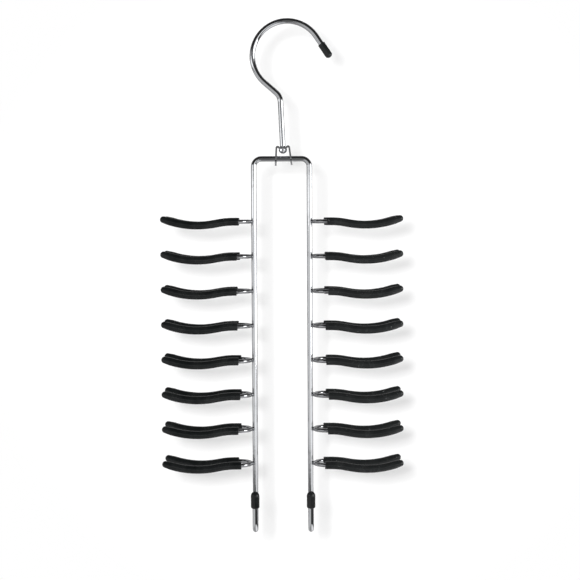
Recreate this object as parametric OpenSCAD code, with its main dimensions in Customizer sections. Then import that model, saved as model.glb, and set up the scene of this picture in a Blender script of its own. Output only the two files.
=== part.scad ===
// Swivelling tie hanger bent from chrome-plated steel wire: an open hook, a stamped bracket
// that the hook turns in, a U-shaped wire frame that swings in the bracket, and rows of wavy
// hairpin arms in black sleeves, welded to both rails.
// Millimetres. +X is right and +Y away from the viewer. The origin is the point inside the
// crown of the hook that rests on a closet rod, and the hanger hangs below it.

/* [Wire] */
// Diameter of the wire of the hook and the frame
wire_d = 4; // [3:0.1:5]
// Diameter of the wire of the arms
arm_wire_d = 3; // [2:0.1:4]

/* [Hook] */
// Radius of the hook's ring, to the middle of the wire
hook_r = 25; // [20:0.5:35]
// Turn of the ring from its crown round to the back
hook_back_a = 139; // [130:0.5:150]
// Turn of the ring from its crown to the straight tip
hook_front_a = 56; // [40:1:80]
// Length of the straight tip, to the end of the wire
hook_tip_l = 16.5; // [13:0.5:30]
// Length of the straight slope between the ring and the neck
hook_slope_l = 11; // [5:0.5:20]
// Radius of the neck bend, to the middle of the wire
hook_neck_r = 9; // [5:0.5:15]
// Length of the straight shank, from the neck to the bracket's underside
shank_l = 34; // [20:0.5:60]
// Lean of the shank from the vertical, its top to the left
hook_lean = 2.6; // [0:0.1:6]
// How far the upset head stands out past the shank all round
head_lip = 0.95; // [0.6:0.05:1.5]
// Height of the head
head_h = 3.3; // [2:0.1:5]
// Height of the head's straight side, above its rounded bottom
head_side_h = 1.2; // [0.5:0.1:1.6]

/* [Swivel bracket] */
// Thickness of the bracket's sheet
sheet_t = 1.2; // [0.8:0.05:1.6]
// Width of the strip that the bracket is stamped from
strip_w = 9.6; // [8:0.1:14]
// Bend radius at each side of the dished top, to the middle of the sheet
dish_r = 0.9; // [0.85:0.05:1.5]
// Slope of the ramps from the dish up to the shoulders
dish_a = 50; // [30:1:60]
// Length of each ramp's straight part
ramp_l = 0.5; // [0.2:0.1:1.5]
// Bend radius of the shoulders, to the middle of the sheet
shoulder_r = 1; // [0.85:0.05:2]
// Outward splay of each leg
leg_splay = 5; // [0:0.5:8]
// Room between the head and each leg, at the shoulder
head_side_gap = 1.1; // [0.6:0.1:3]
// Room between the head and the frame's top bar
head_bar_gap = 1.6; // [0.8:0.1:4]

/* [Frame] */
// Distance between the two rails, middle to middle
rail_pitch = 40; // [34:0.5:60]
// Height of the frame, from the middle of the bar to the middle of the wire at the belt hooks
frame_h = 266.7; // [262:0.5:320]
// Radius of the top corners, to the middle of the wire
corner_r = 5.5; // [4:0.5:8]
// How far the bracket sits to the right of the middle of the bar
bracket_shift = 1.4; // [0:0.1:4]
// Radius of the belt hooks at the rails' feet, to the middle of the wire
belt_hook_r = 6; // [5:0.5:12]
// Opening of each belt hook: the slope of its front leg away from the rail
belt_hook_open = 6; // [0:1:15]
// Straight length of wire up from each belt hook's bend
belt_hook_l = 22; // [16:0.5:30]

/* [Arms] */
// Number of rows of arms
arm_rows = 8; // [1:1:9]
// Drop from the top bar to the first row
arm_first_drop = 45; // [25:0.5:50]
// Distance between rows
arm_pitch = 25; // [20:0.5:26]
// Radius of each hairpin's bend, to the middle of the wire
arm_bend_r = 9; // [6:0.5:12]
// Spread of each leg of a hairpin away from the other
arm_spread = 3.5; // [0:0.5:6]
// How far the welds sink the arms into the rails
weld_sink = 0.3; // [0.1:0.05:0.5]
// Level length of each leg, next to its bend
arm_level_l = 3.5; // [1:0.5:6]
// Radius of the crest where a leg starts down
arm_crest_r = 55; // [20:1:80]
// Steepest slope of the leg on its way down
arm_dip_a = 10; // [4:0.5:14]
// Straight length between the crest and the trough
arm_dip_l = 4; // [2:0.1:10]
// Radius of the trough that holds the tie
arm_trough_r = 66; // [40:1:90]
// Slope of the leg up to its tip
arm_rise_a = 16.5; // [8:0.5:18]
// Straight length of wire at the tip
arm_tip_l = 5.5; // [5:0.5:12]

/* [Sleeves and caps] */
// Outer diameter of the sleeves on the arms
sleeve_d = 5.6; // [4.6:0.1:6.4]
// Diameter of a sleeve's rounded nose
sleeve_nose_d = 4.8; // [4:0.1:5.4]
// Length of the taper from the sleeve to its nose
sleeve_taper_l = 4; // [1:0.5:4.5]
// Outer diameter of the cap on the hook's tip
hook_cap_d = 5.3; // [5:0.1:8]
// Length of the cap on the hook's tip
hook_cap_l = 11.7; // [8:0.1:13]
// Outer diameter of the caps on the belt hooks
belt_cap_d = 6.2; // [5.6:0.1:8]
// Length of the caps on the belt hooks
belt_cap_l = 12.3; // [9:0.1:16]
// Length of the bullet nose of the caps on the belt hooks
belt_cap_nose_l = 3.6; // [2.4:0.1:6]
// Rounding of the mouth of the caps on the belt hooks
belt_cap_mouth_r = 1; // [0.3:0.05:1]

/* [Fits] */
// Running clearance all round the shank and the bar in the bracket
running_gap = 0.08; // [0.02:0.01:0.1]
// Clearance between the head and the underside of the dish
seat_gap = 0.05; // [0.02:0.01:0.1]
// Clearance all round a wire in its sleeve or cap
sleeve_gap = 0.05; // [0.02:0.01:0.1]

/* [Hidden] */
$fn = 64;
// How far a cutting solid reaches past the face that it opens
cut_over = 1;
// Each bend is drawn from both its ends, and the two stretches share this angle
bend_lap = 3;
// Rubber past the end of the wire in the hook's cap, and in the belt hooks' caps
hook_cap_end = 1.6;
belt_cap_end = 1.8;
// Rounding of the hook cap's mouth, and the length of its rounded end
hook_cap_mouth_r = 0.4;
hook_cap_nose_l = 2.2;
// Room between the end of an arm's wire and the closed end of its sleeve
sleeve_end_gap = 0.2;

SIDES = ["left", "right"];
LEGS = ["front", "rear"];
ROWS = [1 : arm_rows];

// A run of wire or strip is a list of steps in one upright plane. [length] is straight, and
// [radius, turn] is a bend, upwards where the turn is above zero. A run starts along +X.
function turn_of(step) = len(step) == 2 ? step[1] : 0;
function heading(steps, n) = n == 0 ? 0 : heading(steps, n - 1) + turn_of(steps[n - 1]);
function bend_shift(r, turn, a) = sign(turn) * r * [sin(a + turn) - sin(a), cos(a) - cos(a + turn)];
function shift_of(step, a) =
    len(step) == 2 ? bend_shift(step[0], step[1], a) : step[0] * [cos(a), sin(a)];
function point(steps, n) =
    n == 0 ? [0, 0] : point(steps, n - 1) + shift_of(steps[n - 1], heading(steps, n - 1));

// The hook runs from its tip over the crown and down the back. It is turned and shifted so that
// it heads straight to the left where it passes the crown, above the origin.
hook_steps = [
    [hook_tip_l],
    [hook_r, hook_front_a + hook_back_a],
    [hook_slope_l],
    [hook_neck_r, 90 + hook_lean - hook_back_a],
    [shank_l]
];
hook_turn = 180 - hook_front_a;
crown = [hook_tip_l, 0] + bend_shift(hook_r, hook_front_a, 0);
function turned(p, a) = [p[0] * cos(a) - p[1] * sin(a), p[0] * sin(a) + p[1] * cos(a)];
// The head's seat is the end of the shank, and the bar lies straight on below it
head_d = wire_d + 2 * head_lip;
seat = turned(point(hook_steps, 5) - crown, hook_turn) + [0, wire_d / 2];
bar_drop = seat_gap + head_h + head_bar_gap + wire_d / 2;
bar_x = seat[0] + bar_drop * sin(hook_lean);
bar_z = seat[1] - bar_drop * cos(hook_lean);

// The bracket's strip runs from the middle of the dish over a shoulder and down a leg
dish_z = bar_drop + sheet_t / 2;
shoulder_steps = [[dish_r, dish_a], [ramp_l], [shoulder_r, leg_splay - 90 - dish_a]];
shoulder_x = head_d / 2 + head_side_gap + sheet_t / 2;
leg_l = dish_z + point(shoulder_steps, 3)[1] + strip_w;
strip_steps = concat([[shoulder_x - point(shoulder_steps, 3)[0]]], shoulder_steps, [[leg_l]]);

// Each half of the frame runs from the middle of the bar, and its foot turns towards the viewer
frame_x = bar_x - bracket_shift;
rail_steps = [
    [rail_pitch / 2 - corner_r],
    [corner_r, -90],
    [frame_h - corner_r - belt_hook_r]
];
foot_steps = [[belt_hook_r, 180 - belt_hook_open], [belt_hook_l]];

// The bend of a hairpin is centred here, from the middle of the rail
arm_bend_x = (wire_d + arm_wire_d) / 2 - weld_sink + arm_bend_r;
arm_bend = [arm_bend_r, 180 - 2 * arm_spread];
function leg_steps(tip_l) = [
    [arm_level_l],
    [arm_crest_r, -arm_dip_a],
    [arm_dip_l],
    [arm_trough_r, arm_dip_a + arm_rise_a],
    [tip_l]
];

function arm_name(side, row) = str(side, "_arm_", row);
function sleeve_name(side, row, leg) = str(side, "_sleeve_", row, "_", leg);

// Carries its children from the start of a step to its end
module past(step) {
    if (len(step) == 1)
        translate([step[0], 0, 0])
            children();
    else
        translate([0, 0, sign(step[1]) * step[0]])
            rotate([0, -step[1], 0])
                translate([0, 0, -sign(step[1]) * step[0]])
                    children();
}

// Carries its children to the end of a run, facing along it
module past_all(steps, n = 0) {
    if (n == len(steps))
        children();
    else
        past(steps[n])
            past_all(steps, n + 1)
                children();
}

// Part of a bend, of the flat section that is its child, between two angles from here
module arc(step, from, to) {
    mirror([0, 0, step[1] < 0 ? 1 : 0])
        translate([0, 0, step[0]])
            rotate([90, 90, 0])
                rotate_extrude(start = from, angle = to - from)
                    translate([step[0], 0])
                        children();
}

// A bend is drawn from each of its ends, so that it joins what comes before and after it
module bend(step) {
    turn = abs(step[1]);
    arc(step, 0, turn / 3 + min(bend_lap, turn / 3))
        children();
    past(step)
        arc(step, -turn * 2 / 3, 0)
            children();
}

// Round wire along a run
module wire(steps, d, n = 0) {
    if (n < len(steps)) {
        if (len(steps[n]) == 1)
            rotate([0, 90, 0])
                cylinder(d = d, h = steps[n][0]);
        else
            bend(steps[n])
                circle(d = d);
        past(steps[n])
            wire(steps, d, n + 1);
    }
}

// Flat strip along a run, with its middle on the run
module strip(steps, w, t, n = 0) {
    if (n < len(steps)) {
        if (len(steps[n]) == 1)
            translate([0, -w / 2, -t / 2])
                cube([steps[n][0], w, t]);
        else
            bend(steps[n])
                square([t, w], center = true);
        past(steps[n])
            strip(steps, w, t, n + 1);
    }
}

// Places the hook's run, which starts at its tip
module on_hook() {
    translate([0, 0, wire_d / 2])
        rotate([0, -hook_turn, 0])
            translate([-crown[0], 0, -crown[1]])
                children();
}

module head() {
    dome_h = head_h - head_side_h;
    dome_r = (pow(head_d / 2, 2) + pow(dome_h, 2)) / (2 * dome_h);
    intersection() {
        cylinder(d = head_d, h = head_h);
        translate([0, 0, head_h - dome_r])
            sphere(r = dome_r);
    }
}

module hook_wire() {
    color("silver")
        on_hook() {
            wire(hook_steps, wire_d);
            past_all(hook_steps)
                rotate([0, 90, 0]) {
                    cylinder(d = wire_d, h = seat_gap + head_side_h);
                    translate([0, 0, seat_gap])
                        head();
                }
        }
}

// A cap on a wire that ends at the origin and points along +X
module cap(d, l, nose_l, mouth_r, end_l) {
    dome = [for (a = [0 : 10 : 90]) [d / 2 * cos(a), l - nose_l + nose_l * sin(a)]];
    mouth = [for (a = [-90 : 15 : -15]) [d / 2 - mouth_r + mouth_r * cos(a), mouth_r + mouth_r * sin(a)]];
    translate([end_l - l, 0, 0])
        rotate([0, 90, 0])
            difference() {
                rotate_extrude()
                    polygon(concat([[0, 0]], mouth, dome));
                translate([0, 0, -cut_over])
                    cylinder(d = wire_d + 2 * sleeve_gap, h = l - end_l + sleeve_gap + cut_over);
            }
}

module hook_cap() {
    color("#2b2c2b")
        on_hook()
            rotate([0, 180, 0])
                cap(hook_cap_d, hook_cap_l, hook_cap_nose_l, hook_cap_mouth_r, hook_cap_end);
}

// Half of the bracket's strip, before its legs' ends are rounded
module half_strip() {
    translate([0, 0, dish_z])
        strip(strip_steps, strip_w, sheet_t);
}

module swivel_bracket() {
    color("silver")
        translate([bar_x, 0, bar_z])
            difference() {
                rotate([0, -hook_lean, 0])
                    difference() {
                        intersection() {
                            union() {
                                half_strip();
                                mirror([1, 0, 0])
                                    half_strip();
                            }
                            leg_outline();
                        }
                        cylinder(d = wire_d + 2 * running_gap, h = 2 * dish_z);
                    }
                rotate([0, 90, 0])
                    cylinder(d = wire_d + 2 * running_gap, h = 4 * shoulder_x, center = true);
            }
}

// The legs' ends are round about the bar
module leg_outline() {
    rotate([0, 90, 0])
        cylinder(d = strip_w, h = 4 * shoulder_x, center = true);
    translate([-2 * shoulder_x, -strip_w / 2, 0])
        cube([4 * shoulder_x, strip_w, 2 * dish_z]);
}

// Places what belongs to one side of the frame, made for the right side
module on_side(side) {
    translate([frame_x, 0, bar_z])
        mirror([side == "left" ? 1 : 0, 0, 0])
            children();
}

// Places the foot of a rail, its bend towards the viewer
module at_foot() {
    past_all(rail_steps)
        rotate([90, 0, 0])
            children();
}

module frame_wire() {
    color("silver")
        for (side = SIDES)
            on_side(side) {
                wire(rail_steps, wire_d);
                at_foot()
                    wire(foot_steps, wire_d);
            }
}

module end_cap(side) {
    color("#2b2c2b")
        on_side(side)
            at_foot()
                past_all(foot_steps)
                    cap(belt_cap_d, belt_cap_l, belt_cap_nose_l, belt_cap_mouth_r, belt_cap_end);
}

// Places an arm made about the middle of the rail, at its row
module on_rail(side, row) {
    on_side(side)
        translate([rail_pitch / 2, 0, -arm_first_drop - (row - 1) * arm_pitch])
            children();
}

// Places a leg of a hairpin at the end of its bend
module on_leg(leg) {
    way = leg == "front" ? -1 : 1;
    translate([arm_bend_x, 0, 0])
        rotate([0, 0, way * arm_spread])
            translate([0, way * arm_bend_r, 0])
                children();
}

module arm(side, row) {
    color("silver")
        on_rail(side, row)
            difference() {
                // From the front leg the bend lies flat, and leads round to the rear leg
                on_leg("front") {
                    wire(leg_steps(arm_tip_l), arm_wire_d);
                    rotate([90, 0, 180]) {
                        bend(arm_bend)
                            circle(d = arm_wire_d);
                        past(arm_bend)
                            rotate([-90, 0, 0])
                                wire(leg_steps(arm_tip_l), arm_wire_d);
                    }
                }
                // The weld seats the bend on the rail's own round
                rotate([0, 0, 180])
                    cylinder(d = wire_d, h = 2 * wire_d, center = true);
            }
}

module sleeve(side, row, leg) {
    outer_steps = leg_steps(arm_tip_l - sleeve_taper_l);
    bore_d = arm_wire_d + 2 * sleeve_gap;
    color("#2b2c2b")
        on_rail(side, row)
            on_leg(leg)
                difference() {
                    union() {
                        wire(outer_steps, sleeve_d);
                        past_all(outer_steps)
                            rotate([0, 90, 0]) {
                                cylinder(d1 = sleeve_d, d2 = sleeve_nose_d, h = sleeve_taper_l);
                                translate([0, 0, sleeve_taper_l])
                                    sphere(d = sleeve_nose_d);
                            }
                    }
                    wire(leg_steps(arm_tip_l + sleeve_end_gap), bore_d);
                    translate([-cut_over, 0, 0])
                        rotate([0, 90, 0])
                            cylinder(d = bore_d, h = 2 * cut_over);
                }
}

hook_wire();
hook_cap();
swivel_bracket();
frame_wire();
for (side = SIDES) {
    end_cap(side);
    for (row = ROWS) {
        arm(side, row);
        for (leg = LEGS)
            sleeve(side, row, leg);
    }
}
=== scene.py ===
import math
import random

import bpy
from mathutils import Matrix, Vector


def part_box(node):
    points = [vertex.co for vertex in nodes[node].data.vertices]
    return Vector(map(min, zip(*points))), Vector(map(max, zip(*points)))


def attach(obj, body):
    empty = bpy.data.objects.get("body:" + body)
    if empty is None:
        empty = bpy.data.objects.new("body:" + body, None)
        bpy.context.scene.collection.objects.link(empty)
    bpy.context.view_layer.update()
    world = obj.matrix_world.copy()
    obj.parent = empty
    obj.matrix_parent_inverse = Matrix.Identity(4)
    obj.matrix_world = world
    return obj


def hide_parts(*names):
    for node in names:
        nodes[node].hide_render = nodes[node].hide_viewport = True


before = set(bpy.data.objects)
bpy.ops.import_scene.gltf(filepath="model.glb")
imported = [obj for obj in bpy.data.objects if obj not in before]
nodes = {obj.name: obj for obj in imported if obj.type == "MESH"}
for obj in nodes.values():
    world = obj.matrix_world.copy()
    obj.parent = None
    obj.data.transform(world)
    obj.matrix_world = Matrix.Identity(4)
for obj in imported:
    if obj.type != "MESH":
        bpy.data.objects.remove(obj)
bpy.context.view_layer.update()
collection = bpy.context.scene.collection

# Camera: level with the first row of arms, where the front leg of a hairpin hides the rear one,
# and tipped down a little to hold the whole hanger. One square picture, 580 by 580.
PICTURE_SIDE = 580
PICTURE_SCALE = 1319  # pixels that a thing as wide as its distance covers
SENSOR_WIDTH = 36
CAMERA_PLACE = (0.0014, -0.95, -0.1409)
CAMERA_TIP = 2.25
CAMERA_LEAN = 0.3
camera_data = bpy.data.cameras.new("photo_camera")
camera_data.sensor_width = SENSOR_WIDTH
camera_data.lens = SENSOR_WIDTH * PICTURE_SCALE / PICTURE_SIDE
camera_data.clip_start = 0.01
camera_data.shift_y = -0.03
camera = bpy.data.objects.new("photo_camera", camera_data)
camera.location = CAMERA_PLACE
camera.rotation_euler = (math.radians(90 - CAMERA_TIP), math.radians(CAMERA_LEAN), 0)
collection.objects.link(camera)
bpy.context.scene.camera = camera
bpy.context.scene.view_settings.view_transform = "Standard"


# Studio: a sheet of white paper hangs behind the hanger. A small lamp beside the lens throws a
# soft shadow on it, down to the right. The chrome mirrors a soft box on either side, and a room
# that is dark overhead and darkish straight ahead.
class Socket:
    """An output in a node tree. Sums, differences and products of outputs add Math nodes."""

    def __init__(self, tree, output=None):
        self.tree = tree
        self.output = output

    def node(self, kind, settings=None, inputs=None, output=0):
        """Adds a node with its settings, then the values or links of its sockets."""
        made = self.tree.nodes.new(kind)
        for name, value in (settings or {}).items():
            setattr(made, name, value)
        for name, value in (inputs or {}).items():
            if isinstance(value, Socket):
                self.tree.links.new(value.output, made.inputs[name])
            else:
                made.inputs[name].default_value = value
        return Socket(self.tree, made.outputs[output] if made.outputs else None)

    def twin(self, output):
        """Another output of the same node."""
        return Socket(self.tree, self.output.node.outputs[output])

    def math(self, operation, first, second=0.0):
        return self.node("ShaderNodeMath", {"operation": operation}, {0: first, 1: second})

    def __add__(self, other):
        return self.math("ADD", self, other)

    def __radd__(self, other):
        return self.math("ADD", other, self)

    def __sub__(self, other):
        return self.math("SUBTRACT", self, other)

    def __rsub__(self, other):
        return self.math("SUBTRACT", other, self)

    def __mul__(self, other):
        return self.math("MULTIPLY", self, other)

    def __rmul__(self, other):
        return self.math("MULTIPLY", other, self)

    def __abs__(self):
        return self.math("ABSOLUTE", self)

    def rise(self, start, end):
        """0 below start and 1 above end, with a soft step between."""
        ends = {"Value": self, "From Min": start, "From Max": end}
        return self.node("ShaderNodeMapRange", {"interpolation_type": "SMOOTHSTEP"}, ends)

    def toward(self, goal, share):
        """This value, moved by a share of the way to a goal."""
        return self + (goal - self) * share

    def axis(self, letter):
        return self.node("ShaderNodeSeparateXYZ", None, {"Vector": self}, letter)

    def noise(self, scale, detail=2.0, roughness=0.5):
        sizes = {"Vector": self, "Scale": scale, "Detail": detail, "Roughness": roughness}
        return self.node("ShaderNodeTexNoise", None, sizes, "Fac")

    def tint(self, low, high):
        """A colour that goes from low to high as this value goes from 0 to 1."""
        factor_and_colours = {0: self, 6: (*low, 1), 7: (*high, 1)}
        return self.node("ShaderNodeMix", {"data_type": "RGBA"}, factor_and_colours, 2)


def blank_tree(owner):
    """Empties the node tree of a material or world, and returns a start for its nodes."""
    owner.use_nodes = True
    owner.node_tree.nodes.clear()
    return Socket(owner.node_tree)


# How bright each part of the room is, where 1 is white
DIM_ROOM = 0.2
EYE_LEVEL = 0.7
EYE_LEVEL_LEFT = 0.1
LOW_LEFT = 0.6
RIGHT_WALL = 1.1
RIGHT_STRIP = 1.8
BEHIND_HANGER = 0.9
LOW_RIGHT = 0.05
FLOOR = 0.42
FLOOR_RIGHT = 0.3
FLOOR_FAR_RIGHT = 0.7
CEILING = 0.04
UPPER_WALLS = 0.55
UPPER_WALLS_RIGHT = 0.3

world = bpy.data.worlds.new("studio_room")
bpy.context.scene.world = world
room = blank_tree(world)
look = room.node("ShaderNodeTexCoord", None, None, "Generated")
right, back, up = look.axis("X"), look.axis("Y"), look.axis("Z")
left, down = 0 - right, 0 - up

# Where these parts are, by how far a line of sight leans each way
camera_gap = (0.055 - abs(right)).rise(0, 0.02)
eye_level = (0.045 - up).rise(0, 0.02) * (up + 0.2).rise(0, 0.04) * (1 - camera_gap * 0.85)
low = down.rise(0.2, 0.34)
left_side = left.rise(0.1, 0.3)
strip = right.rise(-0.06, 0.12) * eye_level * (0.75 - right).rise(0, 0.15)
floor_right = right.rise(0.02, 0.1) * FLOOR_RIGHT + right.rise(0.15, 0.35) * FLOOR_FAR_RIGHT
upper_walls = abs(right).rise(0.38, 0.68) * up.rise(0.02, 0.1) * (0.3 - up).rise(0, 0.12)

light = left_side * (low * LOW_LEFT + eye_level * EYE_LEVEL_LEFT)
light = light + eye_level * EYE_LEVEL + DIM_ROOM
light = light.toward(RIGHT_WALL, right.rise(0.04, 0.26))
light = light.toward(RIGHT_STRIP, strip)
light = light.toward(BEHIND_HANGER, back.rise(0.05, 0.5))
light = light.toward(LOW_RIGHT, low * right.rise(-0.15, 0))
light = light.toward(FLOOR, down.rise(0.4, 1))
light = light + floor_right * down.rise(0.45, 0.6)
light = light.toward(CEILING, up.rise(0.05, 0.2))
light = light.toward(right.rise(0, 0.3) * UPPER_WALLS_RIGHT + UPPER_WALLS, upper_walls)
seen = room.node("ShaderNodeLightPath", None, None, "Is Camera Ray")
room_light = room.node("ShaderNodeBackground", None, {"Strength": light.toward(1, seen)})
room.node("ShaderNodeOutputWorld", None, {"Surface": room_light})

PAPER_DEPTH = 0.175  # from the hanger's middle back to the paper
PAPER_ACROSS = (-1.6, 0.28)
PAPER_UP = (-0.48, 0.2)
paper_points = [(x, PAPER_DEPTH, z) for z in PAPER_UP for x in PAPER_ACROSS]
paper_faces = [(0, 1, 3, 2)]
paper_mesh = bpy.data.meshes.new("paper_sheet")
paper_mesh.from_pydata(paper_points, [], paper_faces)
paper = bpy.data.objects.new("paper_sheet", paper_mesh)
collection.objects.link(paper)

# The paper takes the shadow on its front, is plain white past it, and isn't there when it is
# seen from behind
PAPER_WHITE = (0.92, 0.92, 0.92, 1)
SHADOW_MIDDLE = (0.02, PAPER_DEPTH, -0.19)
SHADOW_REACH = 0.22
SHADOW_END = 0.3
PLAIN_SHARE = 0.4  # of glow in the paper near the hanger, which keeps the shadow faint
MIRRORED_SHARE = 0.85  # of glow in the paper that the chrome mirrors
MIRRORED_DIMMER = 0.7  # how much weaker the glow is there
paper_white = bpy.data.materials.new("white_paper")
sheet = blank_tree(paper_white)
camera_ray = sheet.node("ShaderNodeLightPath", None, None, "Is Camera Ray")
glossy_ray = camera_ray.twin("Is Glossy Ray")
behind = sheet.node("ShaderNodeNewGeometry", None, None, "Backfacing")
matt = sheet.node("ShaderNodeBsdfDiffuse", None, {"Color": PAPER_WHITE})
glow = sheet.node("ShaderNodeEmission", None, {"Strength": 1 - glossy_ray * MIRRORED_DIMMER})
spot = sheet.node("ShaderNodeTexCoord", None, None, "Object")
span = {0: spot, 1: SHADOW_MIDDLE}
away = sheet.node("ShaderNodeVectorMath", {"operation": "DISTANCE"}, span, "Value")
past_shadow = away.rise(SHADOW_REACH, SHADOW_END)
plain = camera_ray * (past_shadow * (1 - PLAIN_SHARE) + PLAIN_SHARE) + glossy_ray * MIRRORED_SHARE
front = sheet.node("ShaderNodeMixShader", None, {0: plain, 1: matt, 2: glow})
clear = sheet.node("ShaderNodeBsdfTransparent")
sides = sheet.node("ShaderNodeMixShader", None, {0: behind, 1: front, 2: clear})
sheet.node("ShaderNodeOutputMaterial", None, {"Surface": sides})
paper_mesh.materials.append(paper_white)


def lamp(name, place, aim, width, height, power, mirrored=True):
    """A soft lamp turned towards a point. The chrome mirrors it, unless it is told not to."""
    data = bpy.data.lights.new(name, "AREA")
    data.shape = "RECTANGLE"
    data.size, data.size_y = width, height
    data.energy = power
    head = bpy.data.objects.new(name, data)
    head.location = place
    head.rotation_euler = (Vector(aim) - Vector(place)).to_track_quat("-Z", "Y").to_euler()
    head.visible_glossy = mirrored
    collection.objects.link(head)


HANGER_MIDDLE = (0, 0, -0.18)
lamp(
    "lens_lamp",
    place=(-0.06, -0.97, -0.1),
    aim=(0, 0.17, -0.19),
    width=0.066,
    height=0.066,
    power=9.7,
    mirrored=False,
)
lamp(
    "right_soft_box",
    place=(0.85, -0.45, -0.1),
    aim=HANGER_MIDDLE,
    width=0.45,
    height=0.5,
    power=3.5,
)
lamp(
    "left_soft_box",
    place=(-0.9, -0.8, -0.02),
    aim=HANGER_MIDDLE,
    width=0.8,
    height=0.26,
    power=0.65,
)


# Hook: one length of steel wire, bent to an open ring with a shank and upset to a head below,
# then polished and plated with bright chrome. It turns in the bracket.
BRIGHT_CHROME = (0.65, 0.66, 0.68)
DULL_CHROME = (0.42, 0.425, 0.435)


def plated(name, bright=BRIGHT_CHROME, heat=None):
    """Chrome that is hazed in places, with fine pits and the ripple of the drawn wire below.
    Heat gives the mask of the places where welding has dulled it."""
    finish = bpy.data.materials.new(name)
    metal = blank_tree(finish)
    place = metal.node("ShaderNodeTexCoord", None, None, "Object")
    haze = place.noise(70, 4, 0.6).rise(0.5, 0.8)
    pits = place.noise(2600).rise(0.7, 0.78)
    ripple = place.noise(380)
    dull = haze * 0.5 + pits * 0.4
    if heat:
        dull = dull + heat(place) * 0.4
    bump = metal.node(
        "ShaderNodeBump",
        None,
        {"Height": ripple + pits * -0.3, "Strength": 0.05, "Distance": 0.0002},
    )
    surface = metal.node(
        "ShaderNodeBsdfPrincipled",
        None,
        {
            "Base Color": dull.tint(bright, DULL_CHROME),
            "Metallic": 1.0,
            "Roughness": dull * 0.2 + 0.06,
            "Normal": bump,
        },
    )
    metal.node("ShaderNodeOutputMaterial", None, {"Surface": surface})
    return finish


def dress(finish, *node_names):
    """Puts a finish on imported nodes, which keep their shape."""
    for name in node_names:
        for slot in nodes[name].material_slots:
            slot.material = finish


hook_chrome = plated("hook_chrome")
dress(hook_chrome, "hook_wire")


# Hook's cap: a closed cap of black rubber, pushed over the hook's tip to save the rod and the
# finger. It holds by its own squeeze.
BLACK_RUBBER = (0.004, 0.0048, 0.005)
GREY_DUST_AND_LIGHT = (0.2, 0.205, 0.205)


def black_rubber(name, grain):
    """Satin black rubber with a fine skin and faint cloudiness. Towards the hanger's right it has
    a few specks of dust, and painted light makes it a little paler there."""
    finish = bpy.data.materials.new(name)
    skin = blank_tree(finish)
    place = skin.node("ShaderNodeTexCoord", None, None, "Object")
    cloud = place.noise(110, 4, 0.6).rise(0.3, 0.75)
    specks = place.noise(800, 1).rise(0.74, 0.8)
    to_right = place.axis("X").rise(-0.04, 0.05)
    # Painted light: towards the right the rubber is painted paler, as if lit from that side; the
    # specks there and the cloud are dust and tone
    dust_and_painted_light = cloud * 0.035 + to_right * (specks * 0.7 + 0.024)
    height = place.noise(grain, 3, 0.6) + place.noise(grain / 8) * 0.8
    bump = skin.node(
        "ShaderNodeBump", None, {"Height": height, "Strength": 0.08, "Distance": 0.0002}
    )
    surface = skin.node(
        "ShaderNodeBsdfPrincipled",
        None,
        {
            "Base Color": dust_and_painted_light.tint(BLACK_RUBBER, GREY_DUST_AND_LIGHT),
            "Roughness": cloud * 0.1 + 0.2,
            "Normal": bump,
            "IOR": 1.4,
        },
    )
    skin.node("ShaderNodeOutputMaterial", None, {"Surface": surface})
    return finish


cap_rubber = black_rubber("cap_rubber", grain=1800)
dress(cap_rubber, "hook_cap")


# Swivel bracket: a strip stamped from sheet steel, its top dished to seat the hook's head and
# its two legs bored for the frame's bar, chromed like the wire. The hook's head holds it.
bracket_chrome = plated("bracket_chrome")
dress(bracket_chrome, "swivel_bracket")


# Frame: one length of the same wire as the hook, bent to an upside-down U whose feet turn up
# towards the viewer as two hooks for belts. Its bar swings in the bracket's legs.
WIRE_R = 0.002
FIRST_DROP = 0.045  # from the middle of the bar down to the first row of arms
ROW_PITCH = 0.025
frame_low, frame_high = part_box("frame_wire")
FRAME_MIDDLE = (frame_low.x + frame_high.x) / 2
RAIL_OUT = frame_high.x - WIRE_R - FRAME_MIDDLE  # from the frame's middle to a rail's
FIRST_ROW = frame_high.z - WIRE_R - FIRST_DROP
HEAT_DEPTH = 0.0002  # the middle of a weld's heat, out from the rail's side


def weld_heat(place):
    """1 at the welds, where the arms meet the rails, and 0 away from them."""
    off_rail = abs(abs(place.axis("X") - FRAME_MIDDLE) - (RAIL_OUT + WIRE_R + HEAT_DEPTH))
    wrap = {0: place.axis("Z") - FIRST_ROW, 1: ROW_PITCH / 2, 2: -ROW_PITCH / 2}
    off_row = abs(place.node("ShaderNodeMath", {"operation": "WRAP"}, wrap))
    off_weld = off_rail + off_row + place.noise(900) * 0.002
    return 1 - off_weld.rise(0.0015, 0.0045)


frame_chrome = plated("frame_chrome", heat=weld_heat)
dress(frame_chrome, "frame_wire")


# End caps: two closed caps of black rubber with a bullet nose, longer than the hook's, pushed
# on the cut ends of the belt hooks. They hold by their own squeeze too.
dress(cap_rubber, "left_end_cap", "right_end_cap")


# Arms: sixteen hairpins of thinner wire, each leg bent to a shallow wave that holds a tie. They
# are resistance-welded by their bends to the outer sides of the rails, eight to a rail. Their
# chrome is painted darker than the frame's, a painted shade for how dark the thin wires look.
SIDES = ("left", "right")
ROWS = 8
# Painted shade: the same chrome as the frame's, given a darker colour
PAINTED_SHADE_CHROME = (0.45, 0.455, 0.47)
arm_chrome = plated("arm_chrome", PAINTED_SHADE_CHROME, weld_heat)
dress(arm_chrome, *[f"{side}_arm_{row}" for side in SIDES for row in range(1, ROWS + 1)])


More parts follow.
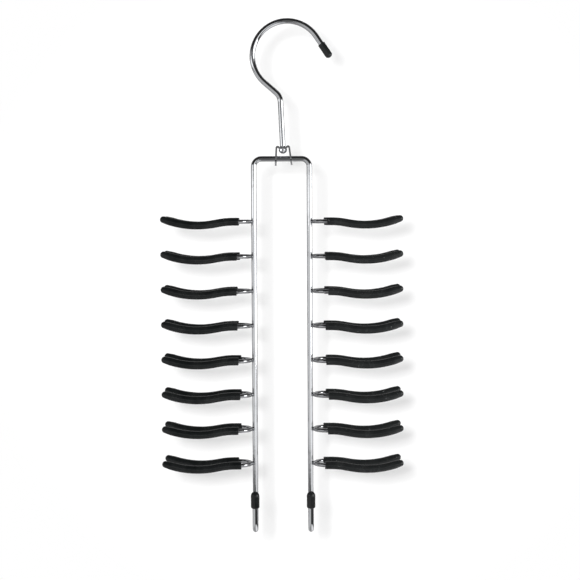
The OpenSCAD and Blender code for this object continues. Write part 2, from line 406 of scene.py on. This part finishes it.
# Welds: the beads of metal that squeeze out where each hairpin's bend is pressed into its rail.
# They are left as they set, a little uneven, and plated with the rest.
BEAD_LONG = 0.0016
BEAD_TALL = 0.0014
BEAD_DEEP = 0.0005
BEAD_FULLNESS = 0.8  # 1 is round, and less is fuller
BEAD_STEPS = 10
BEAD_SEGMENTS = 20
BEAD_PLACE = 0.00005  # out from the rail's side
BEAD_UNEVENNESS = 0.0003


def way_out(side):
    """Along X, from the frame's middle to this side."""
    return 1 if side == "right" else -1


def row_height(row):
    return FIRST_ROW - (row - 1) * ROW_PITCH


def mesh_object(name, points, faces=()):
    mesh = bpy.data.meshes.new(name)
    mesh.from_pydata(points, [], faces)
    mesh.polygons.foreach_set("use_smooth", [True] * len(mesh.polygons))
    made = bpy.data.objects.new(name, mesh)
    collection.objects.link(made)
    return made


def lathe(profile, segments):
    """Points and faces of a shape turned about X, from one pole to the other."""
    points = [(profile[0][0], 0, 0)]
    for x, r in profile[1:-1]:
        for n in range(segments):
            turn = math.tau * n / segments
            points.append((x, r * math.cos(turn), r * math.sin(turn)))
    points.append((profile[-1][0], 0, 0))
    last = len(points) - 1
    rings = len(profile) - 2
    faces = []
    for n in range(segments):
        after = (n + 1) % segments
        faces.append((0, 1 + after, 1 + n))
        for ring in range(rings - 1):
            near, far = 1 + ring * segments, 1 + (ring + 1) * segments
            faces.append((near + n, near + after, far + after, far + n))
        end = 1 + (rings - 1) * segments
        faces.append((last, end + n, end + after))
    return points, faces


def new_tree(name, sockets):
    """A Geometry Nodes tree with a geometry in and out and the named inputs."""
    tree = bpy.data.node_groups.new(name, "GeometryNodeTree")
    tree.interface.new_socket("Geometry", in_out="INPUT", socket_type="NodeSocketGeometry")
    for title, kind in sockets.items():
        tree.interface.new_socket(title, in_out="INPUT", socket_type=kind)
    tree.interface.new_socket("Geometry", in_out="OUTPUT", socket_type="NodeSocketGeometry")
    return Socket(tree)


def group_inputs(start):
    """The inputs of a Geometry Nodes tree, by name."""
    made = start.tree.nodes.new("NodeGroupInput")
    return {o.name: Socket(start.tree, o) for o in made.outputs if o.name}


def grow(name, base, start, values):
    """Runs a tree on an object, and returns what it makes as a plain mesh object."""
    modifier = base.modifiers.new(name, "NODES")
    modifier.node_group = start.tree
    for item in start.tree.interface.items_tree:
        if item.in_out == "INPUT" and item.name in values:
            modifier[item.identifier] = values[item.name]
    bpy.context.view_layer.update()
    grown = base.evaluated_get(bpy.context.evaluated_depsgraph_get())
    mesh = bpy.data.meshes.new_from_object(grown)
    mesh.name = name
    made = bpy.data.objects.new(name, mesh)
    collection.objects.link(made)
    for helper in [base] + [v for v in values.values() if isinstance(v, bpy.types.Object)]:
        bpy.data.objects.remove(helper)
    return made


bead_turns = [math.pi * n / BEAD_STEPS for n in range(BEAD_STEPS + 1)]
bead_profile = [(-BEAD_DEEP * math.cos(t), math.sin(t) ** BEAD_FULLNESS) for t in bead_turns]
bead_points, bead_faces = lathe(bead_profile, BEAD_SEGMENTS)
bead_points = [(x, y * BEAD_LONG, z * BEAD_TALL) for x, y, z in bead_points]
bead = mesh_object("weld_bead", bead_points, bead_faces)
weld_places = [
    (FRAME_MIDDLE + way_out(side) * (RAIL_OUT + WIRE_R + BEAD_PLACE), 0, row_height(row))
    for side in SIDES
    for row in range(1, ROWS + 1)
]
weld_spots = mesh_object("weld_spots", weld_places)

welder = new_tree(
    "weld_every_row",
    {"Bead": "NodeSocketObject", "Unevenness": "NodeSocketFloat", "Finish": "NodeSocketMaterial"},
)
given = group_inputs(welder)
bead_shape = welder.node("GeometryNodeObjectInfo", None, {"Object": given["Bead"]}, "Geometry")
beads = welder.node(
    "GeometryNodeInstanceOnPoints", None, {"Points": given["Geometry"], "Instance": bead_shape}
)
beads = welder.node("GeometryNodeRealizeInstances", None, {"Geometry": beads})
outward = welder.node("GeometryNodeInputNormal")
spread = welder.node("GeometryNodeInputPosition").noise(900) * given["Unevenness"]
swell = welder.node(
    "ShaderNodeVectorMath", {"operation": "SCALE"}, {"Vector": outward, "Scale": spread}
)
beads = welder.node("GeometryNodeSetPosition", None, {"Geometry": beads, "Offset": swell})
beads = welder.node(
    "GeometryNodeSetMaterial", None, {"Geometry": beads, "Material": given["Finish"]}
)
welder.node("NodeGroupOutput", None, {"Geometry": beads})
welds = grow(
    "weld_beads",
    weld_spots,
    welder,
    {"Bead": bead, "Unevenness": BEAD_UNEVENNESS, "Finish": frame_chrome},
)
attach(welds, "frame")


# Sleeves: thirty-two tubes of soft black rubber, closed and rounded at the tip and cut off at
# the other end, pushed on by hand, so that their mouths don't line up.
SLEEVE_R = 0.0028
NOSE_R = 0.0024
BORE_R = 0.00155
TAPER_L = 0.004
TIP_GAP = 0.0002  # between the wire's end and the end of the bore
MOUTH_CHAMFER = 0.0002
# Along the sleeve from its mouth, and in from its outside
MOUTH_EDGE = ((0, 0.0003), (0.00003, 0.00015), (0.00012, 0.00004), (0.0003, 0))
SIDE_START = 0.0015  # where the even points along the outside begin
BORE_STEPS = 22
SIDE_STEPS = 38
TAPER_STEPS = 5
NOSE_STEPS = 8
SLEEVE_SEGMENTS = 26
LUMP_HEIGHT = 0.035  # as a share of the sleeve's radius
TRIM_REACH = 0.012  # how far from its mouth a sleeve is stretched or pressed to its trim
SKEW_LIMIT = 0.09

# A leg runs level, over the crest, down the dip, through the trough and up to the tip
LEVEL_L = 0.0035
CREST_R = 0.055
DIP_A = math.radians(10)
DIP_L = 0.004
TROUGH_R = 0.066
RISE_A = math.radians(16.5)
TIP_L = 0.0055
CREST_L = CREST_R * DIP_A
TROUGH_L = TROUGH_R * (DIP_A + RISE_A)
LEG_L = LEVEL_L + CREST_L + DIP_L + TROUGH_L + TIP_L
LEG_RUN_UP = 0.004  # of the leg's line before the leg starts
LEG_RUN_OUT = 0.006  # of the line past the leg's end
LINE_STEP = 0.0005


def leg_slope(s):
    """Slope of a leg in radians, this far along it."""
    over_crest = min(max(s - LEVEL_L, 0), CREST_L) / CREST_R
    up_trough = min(max(s - LEVEL_L - CREST_L - DIP_L, 0), TROUGH_L) / TROUGH_R
    return up_trough - over_crest


x, z = -LEG_RUN_UP, 0.0
leg_points = [(x, 0, z, 1)]
for n in range(int((LEG_RUN_UP + LEG_L + LEG_RUN_OUT) / LINE_STEP)):
    slope = leg_slope((n + 0.5) * LINE_STEP - LEG_RUN_UP)
    x, z = x + LINE_STEP * math.cos(slope), z + LINE_STEP * math.sin(slope)
    leg_points.append((x, 0, z, 1))
leg_curve = bpy.data.curves.new("leg_line", "CURVE")
leg_curve.dimensions = "3D"
leg_spline = leg_curve.splines.new("POLY")
leg_spline.points.add(len(leg_points) - 1)
for point, co in zip(leg_spline.points, leg_points):
    point.co = co
leg_line = bpy.data.objects.new("leg_line", leg_curve)
collection.objects.link(leg_line)


def stretch(start, end, steps):
    """Points evenly along a straight stretch of an outline, without its end."""
    return [tuple(a + (b - a) * n / steps for a, b in zip(start, end)) for n in range(steps)]


# From the pole in the bore's closed end, out of the mouth and along the outside to the nose
sleeve_profile = [(LEG_L + TIP_GAP, 0), (LEG_L + TIP_GAP, BORE_R * 0.6)]
sleeve_profile += stretch((LEG_L, BORE_R), (0, BORE_R), BORE_STEPS)
sleeve_profile += [(MOUTH_CHAMFER, BORE_R), (0, BORE_R + MOUTH_CHAMFER * 0.6)]
sleeve_profile += [(along, SLEEVE_R - inset) for along, inset in MOUTH_EDGE]
sleeve_profile += stretch((SIDE_START, SLEEVE_R), (LEG_L - TAPER_L, SLEEVE_R), SIDE_STEPS)
sleeve_profile += stretch((LEG_L - TAPER_L, SLEEVE_R), (LEG_L, NOSE_R), TAPER_STEPS)
nose_turns = [math.pi / 2 * n / NOSE_STEPS for n in range(NOSE_STEPS)]
sleeve_profile += [(LEG_L + NOSE_R * math.sin(t), NOSE_R * math.cos(t)) for t in nose_turns]
sleeve_profile += [(LEG_L + NOSE_R, 0)]
straight_sleeve = mesh_object("straight_sleeve", *lathe(sleeve_profile, SLEEVE_SEGMENTS))

# Where each sleeve starts on its leg, in millimetres from the end of the bend
TRIMS = {
    ("left", "front"): (-0.7, 0.4, 0.8, 0.4, -0.3, -1.4, 0.1, -1.7),
    ("left", "rear"): (-0.6, -1.0, 0.7, 0.3, -1.5, -1.6, -1.3, 0.4),
    ("right", "front"): (0.8, -0.6, 1.6, -0.6, -0.3, 1.4, 0.8, -1.2),
    ("right", "rear"): (-1.0, -0.5, -1.0, -1.5, -0.2, -0.3, -1.9, -1.9),
}

# A leg starts where the hairpin's bend ends. The bend is sunk into the rail by its weld.
ARM_WIRE_R = 0.0015
BEND_R = 0.009
WELD_SINK = 0.0003
LEG_SPREAD = math.radians(3.5)
BEND_MIDDLE = RAIL_OUT + WIRE_R + ARM_WIRE_R - WELD_SINK + BEND_R
LEG_OUT = BEND_MIDDLE - BEND_R * math.sin(LEG_SPREAD)
LEG_ASIDE = BEND_R * math.cos(LEG_SPREAD)
chance = random.Random(31)
roots, turns, trims, skews = [], [], [], []
for (side, leg), rows in TRIMS.items():
    out, aside = way_out(side), -1 if leg == "front" else 1
    for row, trim in enumerate(rows, 1):
        roots.append((FRAME_MIDDLE + out * LEG_OUT, aside * LEG_ASIDE, row_height(row)))
        turns.append(aside * LEG_SPREAD if out > 0 else math.pi - aside * LEG_SPREAD)
        trims.append(trim / 1000)
        skews.append(chance.uniform(-SKEW_LIMIT, SKEW_LIMIT))
sleeve_roots = mesh_object("sleeve_roots", roots)
for title, values in (("turn", turns), ("trim", trims), ("skew", skews)):
    kept = sleeve_roots.data.attributes.new(title, "FLOAT", "POINT")
    kept.data.foreach_set("value", values)

fitter = new_tree(
    "sleeve_every_leg",
    {
        "Sleeve": "NodeSocketObject",
        "Leg line": "NodeSocketObject",
        "Run-up": "NodeSocketFloat",
        "Trim reach": "NodeSocketFloat",
        "Lump height": "NodeSocketFloat",
        "Finish": "NodeSocketMaterial",
    },
)
given = group_inputs(fitter)


def vector_math(operation, first, second):
    slot = "Scale" if operation == "SCALE" else 1
    return fitter.node("ShaderNodeVectorMath", {"operation": operation}, {0: first, slot: second})


def keep(geometry, title, value):
    """Stores a vector on every point, so that it is still known once the points are copied."""
    return fitter.node(
        "GeometryNodeStoreNamedAttribute",
        {"data_type": "FLOAT_VECTOR", "domain": "POINT"},
        {"Geometry": geometry, "Name": title, "Value": value},
    )


def kept_value(title, kind="FLOAT"):
    return fitter.node("GeometryNodeInputNamedAttribute", {"data_type": kind}, {"Name": title})


here = fitter.node("GeometryNodeInputPosition")
sleeve_shape = fitter.node("GeometryNodeObjectInfo", None, {"Object": given["Sleeve"]}, "Geometry")
line_shape = fitter.node("GeometryNodeObjectInfo", None, {"Object": given["Leg line"]}, "Geometry")
fitted = fitter.node(
    "GeometryNodeInstanceOnPoints",
    None,
    {
        "Points": keep(given["Geometry"], "root", here),
        "Instance": keep(sleeve_shape, "straight", here),
    },
)
fitted = fitter.node("GeometryNodeRealizeInstances", None, {"Geometry": fitted})
straight = kept_value("straight", "FLOAT_VECTOR")
along, across, over = straight.axis("X"), straight.axis("Y"), straight.axis("Z")
near_mouth = 1 - along.rise(0, given["Trim reach"])
cut = kept_value("trim") + over * kept_value("skew")
along = along + cut * near_mouth + given["Run-up"]
tangent = fitter.node(
    "GeometryNodeSampleCurve",
    {"mode": "LENGTH"},
    {"Curves": line_shape, "Length": along},
    "Tangent",
)
lift = vector_math("CROSS_PRODUCT", tangent, (0, 1, 0))
lumps = here.noise(160) * given["Lump height"] + 1
sideways = fitter.node("ShaderNodeCombineXYZ", None, {"Y": across * lumps})
bent = vector_math("ADD", tangent.twin("Position"), vector_math("SCALE", lift, over * lumps))
bent = vector_math("ADD", bent, sideways)
placed = fitter.node(
    "ShaderNodeVectorRotate",
    {"rotation_type": "Z_AXIS"},
    {"Vector": bent, "Angle": kept_value("turn")},
)
placed = vector_math("ADD", placed, kept_value("root", "FLOAT_VECTOR"))
fitted = fitter.node("GeometryNodeSetPosition", None, {"Geometry": fitted, "Position": placed})
fitted = fitter.node(
    "GeometryNodeSetMaterial", None, {"Geometry": fitted, "Material": given["Finish"]}
)
fitter.node("NodeGroupOutput", None, {"Geometry": fitted})
sleeve_rubber = black_rubber("sleeve_rubber", grain=1400)
sleeves = grow(
    "sleeves",
    sleeve_roots,
    fitter,
    {
        "Sleeve": straight_sleeve,
        "Leg line": leg_line,
        "Run-up": LEG_RUN_UP,
        "Trim reach": TRIM_REACH,
        "Lump height": LUMP_HEIGHT,
        "Finish": sleeve_rubber,
    },
)
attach(sleeves, "frame")
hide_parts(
    *[
        f"{side}_sleeve_{row}_{leg}"
        for side, leg in TRIMS
        for row in range(1, ROWS + 1)
    ],
)
